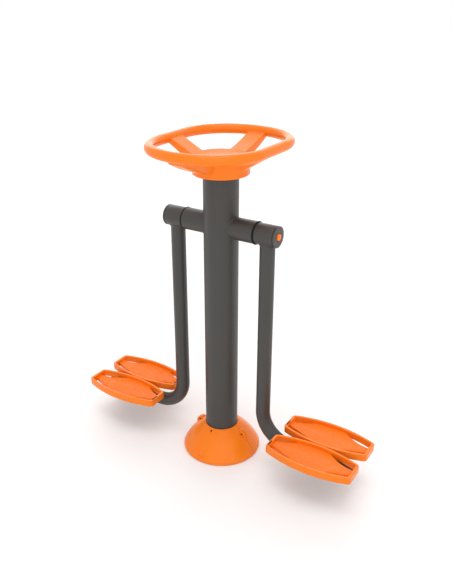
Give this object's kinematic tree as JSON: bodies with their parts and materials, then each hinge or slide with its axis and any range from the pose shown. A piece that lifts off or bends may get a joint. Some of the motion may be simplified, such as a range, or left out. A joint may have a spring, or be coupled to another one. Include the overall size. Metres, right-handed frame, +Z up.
{
  "type": "outdoor pendulum exercise machine",
  "caption": "Free-standing outdoor pendulum machine: a post with a fixed hand wheel, and a swinging arm with foot pedals on bearings at each end of its cross tube.",
  "frame": {"origin": "on the ground, on the post's axis", "axes": "+Z up along the post, +X along the cross tube and swing axis to the right-hand station, -Y the front"},
  "size_m": [1.339, 0.5998, 1.3862],
  "materials": {
    "powder_coat_grey": "satin powder coat",
    "orange_plastic": "satin moulded polyethylene",
    "black_rubber": "matt",
    "zinc_steel": "zinc plated",
    "black_oxide_steel": "black oxide",
    "bearing_steel": "ground",
    "brass_inserts": "as turned"
  },
  "bodies": {
    "frame": {"base_flange": "powder_coat_grey", "base_gussets": "powder_coat_grey", "post_tube": "powder_coat_grey", "cover_front_half": "orange_plastic", "cover_rear_half": "orange_plastic", "cover_ear_screws": "black_oxide_steel", "cover_ear_nuts": "black_oxide_steel", "cover_set_screws": "black_oxide_steel", "cross_tube": "powder_coat_grey", "axle": "bearing_steel", "hand_wheel": "orange_plastic", "wheel_flange": "powder_coat_grey", "wheel_bolts": "zinc_steel", "wheel_inserts": "brass_inserts", "right_axle_plate": "powder_coat_grey", "right_seal_ring": "black_rubber", "right_bearing_inner_rings": "bearing_steel", "right_bearing_spacer": "bearing_steel", "right_axle_washer": "zinc_steel", "right_axle_bolt": "zinc_steel", "left_axle_plate": "powder_coat_grey", "left_seal_ring": "black_rubber", "left_bearing_inner_rings": "bearing_steel", "left_bearing_spacer": "bearing_steel", "left_axle_washer": "zinc_steel", "left_axle_bolt": "zinc_steel"},
    "right_arm": {"right_hub_sleeve": "powder_coat_grey", "right_bearing_outer_rings": "bearing_steel", "right_bearing_balls": "bearing_steel", "right_hub_circlip": "bearing_steel", "right_stop_pin": "bearing_steel", "right_end_cap": "powder_coat_grey", "right_cap_plug": "orange_plastic", "right_arm_tube": "powder_coat_grey", "right_arm_end_plug": "black_rubber", "right_carrier_plate": "powder_coat_grey", "right_carrier_ribs": "powder_coat_grey", "right_front_pedal": "orange_plastic", "right_rear_pedal": "orange_plastic", "right_pedal_bolts": "zinc_steel", "right_pedal_inserts": "brass_inserts", "right_pedal_strips": "black_rubber"},
    "left_arm": {"left_hub_sleeve": "powder_coat_grey", "left_bearing_outer_rings": "bearing_steel", "left_bearing_balls": "bearing_steel", "left_hub_circlip": "bearing_steel", "left_stop_pin": "bearing_steel", "left_end_cap": "powder_coat_grey", "left_cap_plug": "orange_plastic", "left_arm_tube": "powder_coat_grey", "left_arm_end_plug": "black_rubber", "left_carrier_plate": "powder_coat_grey", "left_carrier_ribs": "powder_coat_grey", "left_front_pedal": "orange_plastic", "left_rear_pedal": "orange_plastic", "left_pedal_bolts": "zinc_steel", "left_pedal_inserts": "brass_inserts", "left_pedal_strips": "black_rubber"}
  },
  "joints": [
    {"name": "right_arm_swing", "type": "hinge", "parent": "frame", "child": "right_arm", "pos_m": [0, 0, 1.0445], "axis": [1, 0, 0], "range_deg": [-40, 40]},
    {"name": "left_arm_swing", "type": "hinge", "parent": "frame", "child": "left_arm", "pos_m": [0, 0, 1.0445], "axis": [1, 0, 0], "range_deg": [-40, 40]}
  ]
}
